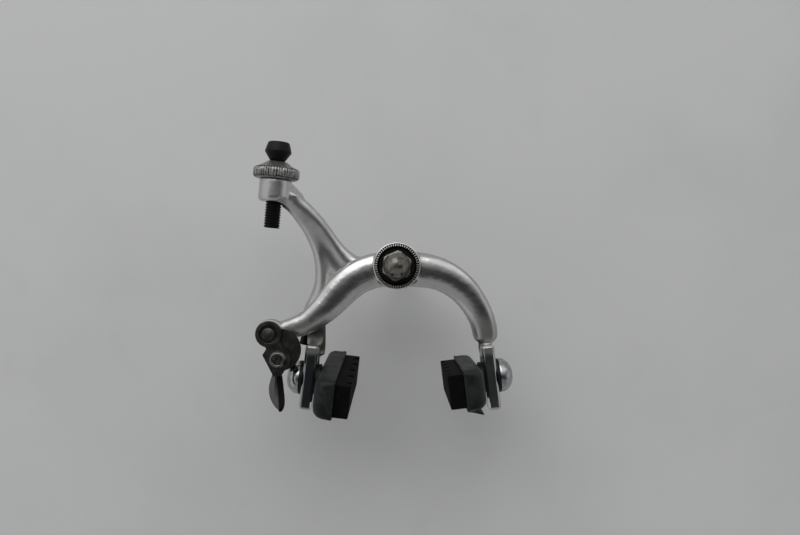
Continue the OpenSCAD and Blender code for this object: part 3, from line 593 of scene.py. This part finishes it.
def knurled_wheel():
    """The wheel: a band of rounded ridges under a low cone."""
    ridges, per_ridge, r, groove = 52, 8, 8.6, 0.062
    bm = lathe([(3.05, 0.1), (3.4, 0), (r - 1.5, 0), (r - 0.6, 0.35), (r, 1.0), (r, 1.6), (r, 2.6),
                (r, 3.4), (r - 0.35, 4.0), (r - 1.1, 4.35), (5.6, 5.3), (4.3, 6.2), (3.9, 6.55),
                (3.3, 6.6), (3.05, 6.4), (3.05, 0.1)], ridges * per_ridge)
    for v in bm.verts:
        radius = math.hypot(v.co.x, v.co.y) / MM
        if radius > r - 0.8:
            turn = math.atan2(v.co.y, v.co.x) * ridges / math.tau
            dip = 0.5 - 0.5 * math.cos(math.tau * turn)
            chip = 0.6 + 0.7 * noise.noise(v.co * 900)
            pull = 1 - groove * (dip ** 2) * chip
            v.co.x *= pull
            v.co.y *= pull
    return bm


piece("knurled_wheel", knurled_wheel(), "adjuster_wheel", WHEEL,
      ("adjuster_wheel",), ADJUSTER, sharp=60)


# ---------------------------------------------------------------- quick release
HOLE_R = 2.55


def plate(outline, back, front):
    """A plate at the eye from its outline seen from the front, with the anchor's hole."""
    bm = bmesh.new()
    bm.faces.new([bm.verts.new(((EYE[0] + x) * MM, back * MM, (EYE[1] + z) * MM))
                  for x, z in outline])
    pushed(bm, (0, (front - back) * MM, 0))
    hole = bmesh.new()
    bmesh.ops.create_cone(hole, cap_ends=True, cap_tris=False, segments=64,
                          radius1=HOLE_R * MM, radius2=HOLE_R * MM, depth=20 * MM)
    hole.transform(at(ANCHOR[0], -26, ANCHOR[1]) @ FRONT)
    return cut(bm, hole)


def blade():
    """The lever's blade: a ridged section of six points carried down a curved run."""
    bm = bmesh.new()
    bmesh.ops.create_circle(bm, cap_ends=True, cap_tris=False, segments=6, radius=MM)
    ring, end = bm.verts[:], None
    steps = 18
    for k in range(steps + 1):
        t = k / steps
        x = EYE[0] + 3.2 + 1.7 * t - 1.1 * math.sin(math.pi * t)
        z = EYE[1] - 14.4 - 13.8 * t
        w = 2.6 + 3.0 * math.sin(math.radians(min(180, 150 * t + 12))) - 3.0 * t ** 9
        y = (LEVER_FRONT + LEVER_BACK) / 2 - 2.4 * t * t
        section = ((-w / 2, 0.8), (-w / 2, 0.3), (-0.45, -0.95), (w / 2, 0.05), (w / 2, 0.7),
                   (0, 0.95))
        if end:
            grown = bmesh.ops.extrude_face_region(bm, geom=[end])
            ring = [loop.vert for g in grown["geom"] if isinstance(g, bmesh.types.BMFace)
                    for loop in g.loops]
        for vert, (dx, dy) in zip(ring, section):
            vert.co = Vector((x + dx, y + dy, z)) * MM
        end = next(f for f in bm.faces if all(v in ring for v in f.verts))
    bmesh.ops.recalc_face_normals(bm, faces=bm.faces)
    return bm


left_side = [(-0.8, -5.4), (-2.2, -7.7)]
cam_disc = plate(left_side + [(0.37, -12.65)] + arc(4.1, -5.8, 7.8, -118.6, 114.1, 48),
                 back=LEVER_BACK, front=-26.1)
front_plate = plate(left_side + [(1.9, -15.6), (4.5, -15.6), (6.2, -13.2)]
                    + arc(3.5, -9.3, 4.7, -50, 45, 14)
                    + [(5.2, -4.7), (4.2, -2.4), (1.4, 0.2), (-2.0, -3.6)],
                    back=-25.4, front=-26.85)
eye_ring = lathe([(2.25, 0), (4.6, 0), (4.9, 0.3), (4.9, 1.8), (4.8, 2.05), (4.55, 2.2),
                  (3.5, 2.2), (3.3, 2.1), (3.0, 1.6), (2.25, 1.6), (2.25, 0)])
eye_ring.transform(at(EYE[0], LEVER_BACK, EYE[1]) @ FRONT)
seat = lathe([(HOLE_R, 0), (3.45, 0), (3.5, 0.1), (3.5, 0.25), (3.35, 0.38), (HOLE_R, 0.38),
              (HOLE_R, 0)])
seat.transform(at(ANCHOR[0], -26.8, ANCHOR[1]) @ FRONT)
piece("release_lever", joined(cam_disc, front_plate, eye_ring, seat, blade()),
      "quick_release", LEVER, ("quick_release_lever",), sharp=24, bevel=0.28)


# ---------------------------------------------------------------- shoes
def cast_holder(side, body, place):
    """The holder with all but its open edge rounded off."""
    open_edge = 10.4 * MM
    bm = shaped(solid_of(body + "_holder"), "REMESH", mode="VOXEL", voxel_size=VOXEL)
    to_shoe = place.inverted()
    soften([v for v in bm.verts if (to_shoe @ v.co).x < open_edge], bm, 30)
    piece(side + "_holder", bm, body, HOLDER, (body + "_holder",), sharp=60)


def shoe(side, place):
    """Holder, pad and dome nut of one side."""
    body = side + "_shoe"
    cast_holder(side, body, place)
    dressed(side + "_brake_pad", side + "_pad", body, RUBBER, 30, 0.35)
    dome = lathe([(3.1, 0.0), (6.1, 0), (6.35, 0.25)]
                 + [(6.4 * math.cos(math.radians(a)), 0.4 + 5.0 * math.sin(math.radians(a)))
                    for a in range(4, 62, 4)]
                 + [(2.95, 4.85), (2.7, 4.8), (2.6, 4.4), (2.5, 3.9), (3.1, 3.9), (3.1, 0.0)])
    dome.transform(place @ at(-3.45, 0, 0) @ OUTWARD)
    bmesh.ops.recalc_face_normals(dome, faces=dome.faces)
    piece(side + "_nut", dome, body, CHROME, (side + "_dome_nut",), sharp=40)


shoe("left", LEFT_SHOE)
shoe("right", RIGHT_SHOE)


# ---------------------------------------------------------------- small pieces and springs
bolt_rim = lathe([(0, 0.45), (1.0, 0.4), (1.7, 0.15), (1.85, 0)]
                 + arc(2.3, 0.1, 0.42, 180, 0, 12) + [(2.72, -0.2), (0, -0.2), (0, 0.45)])
piece("bolt_rim", bolt_rim, "cable_anchor", BOLT, (),
      at(ANCHOR[0], LEVER_FRONT - 0.72, ANCHOR[1]) @ FRONT)

for node, name, body, slot, finish in (
        ("pivot_acorn_nut", "acorn_nut", "centre_bolt", "nut_steel", NUT),
        ("adjusting_nut", "lock_nut", "centre_bolt", "nut_steel", LOCK),
        ("lever_rivet", "rivet", "front_arm", "dark_steel", LEVER),
        ("anchor_bolt", "clamp_bolt", "cable_anchor", "dark_steel", BOLT),
        ("anchor_nut", "clamp_nut", "cable_anchor", "dark_steel", LEVER)):
    dressed(node, name, body, finish)

for side, body in (("left", "rear_arm"), ("right", "front_arm")):
    dressed("spring_sleeve_" + side, side + "_sleeve", body, SLEEVE, bevel=0.8)

for side, body, way in (("left", "rear_arm", -1), ("right", "front_arm", 1)):
    bm = solid_of("return_spring")
    trimmed(bm, (0, 0, 0), (-way, 0, 0))
    bmesh.ops.recalc_face_normals(bm, faces=bm.faces)
    leg = piece(side + "_spring_leg", bm, None, SPRING, ("return_spring",))
    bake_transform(leg)

for node, finish in (("pivot_bolt", SPRING), ("crown_washer", NUT),
                     ("rear_washer", BRASS), ("middle_washer", BRASS),
                     ("spring_washer", NUT), ("anchor_washer", LEVER), ("clamp_washer", LEVER),
                     ("left_shoe_bolt", SPRING), ("right_shoe_bolt", SPRING),
                     # The four shoe washers take the near-black finish that is painted shade.
                     ("left_inner_washer", WASHER_PAINTED_SHADE), ("right_inner_washer", WASHER_PAINTED_SHADE),
                     ("left_outer_washer", WASHER_PAINTED_SHADE), ("right_outer_washer", WASHER_PAINTED_SHADE)):
    nodes[node].data.materials.clear()
    nodes[node].data.materials.append(finish)


# ---------------------------------------------------------------- stage and light
def backdrop():
    """Pale sheet behind the stud's end that shows from the front only."""
    bm = bmesh.new()
    bmesh.ops.create_grid(bm, x_segments=2, y_segments=2, size=1.6)
    bm.transform(at(0, 27.2, 0) @ FRONT)
    sheet = shown("backdrop", mesh_of("backdrop", bm))
    f = Finish("pale_sheet", (0.6, 0.6, 0.6), 0.9, 0.0)
    smudge = f.cloud(9, 4).step(0.4, 0.7) * 0.5 + f.cloud(60, 3).step(0.6, 0.75) * 0.15
    f.set("Base Color", f.blend(smudge, (0.70, 0.705, 0.705), (0.62, 0.625, 0.625)))
    f.shader.inputs["Specular IOR Level"].default_value = 0.0
    clear = f.node("ShaderNodeBsdfTransparent")
    back = f.node("ShaderNodeNewGeometry", output="Backfacing")
    both = f.node("ShaderNodeMixShader", None,
                  {0: back, 1: Wave(f, f.shader.outputs[0]), 2: clear})
    f.feed(f.tree.nodes["Material Output"].inputs["Surface"], both)
    sheet.data.materials.append(f.material)


def surroundings():
    """A grey room, white high up and lighter beside the object, dark low behind the camera."""
    world = bpy.data.worlds.new("room")
    bpy.context.scene.world = world
    world.use_nodes = True
    f = Finish("room", None, None, tree=world.node_tree)
    x, y, z = f.parts(f.node("ShaderNodeTexCoord", output="Generated"))
    front = y.step(-0.75, 0.05, 1.0, 0.0)
    beside = x.step(-0.70, -0.30, 1.0, 0.0) + x.step(0.80, 0.96)
    low = z.step(-0.02, 0.30, 1.0, 0.0) * z.step(-0.54, -0.20)
    level = f.blend(beside, (0.33, 0.33, 0.33), (0.56, 0.56, 0.56))
    level = f.blend(front * low * (1.0 - beside), level, (0.030, 0.031, 0.032))
    high = z.step(0.24, 0.62) * z.step(0.78, 0.97, 1.0, 0.2)
    level = f.blend(high, level, (1.0, 1.0, 1.0))
    f.feed(f.tree.nodes["Background"].inputs["Color"], level)


def lamp(name, place, size, power):
    """A round area light that faces the origin."""
    data = bpy.data.lights.new(name, "AREA")
    data.shape, data.size, data.energy = "DISK", size, power
    made = shown(name, data)
    made.location = place
    made.rotation_mode = "QUATERNION"
    made.rotation_quaternion = (-Vector(place)).to_track_quat("-Z", "Y")


backdrop()
surroundings()
lamp("window", (-0.18, -0.50, 0.55), size=0.8, power=1.6)

optics = bpy.data.cameras.new("camera")
optics.lens, optics.sensor_width = 35.0, 36.0
camera = shown("camera", optics)
camera.location = [c * MM for c in CAMERA_AT]
camera.rotation_euler = (math.radians(90), 0, 0)
bpy.context.scene.camera = camera
bpy.context.scene.view_settings.view_transform = "Standard"
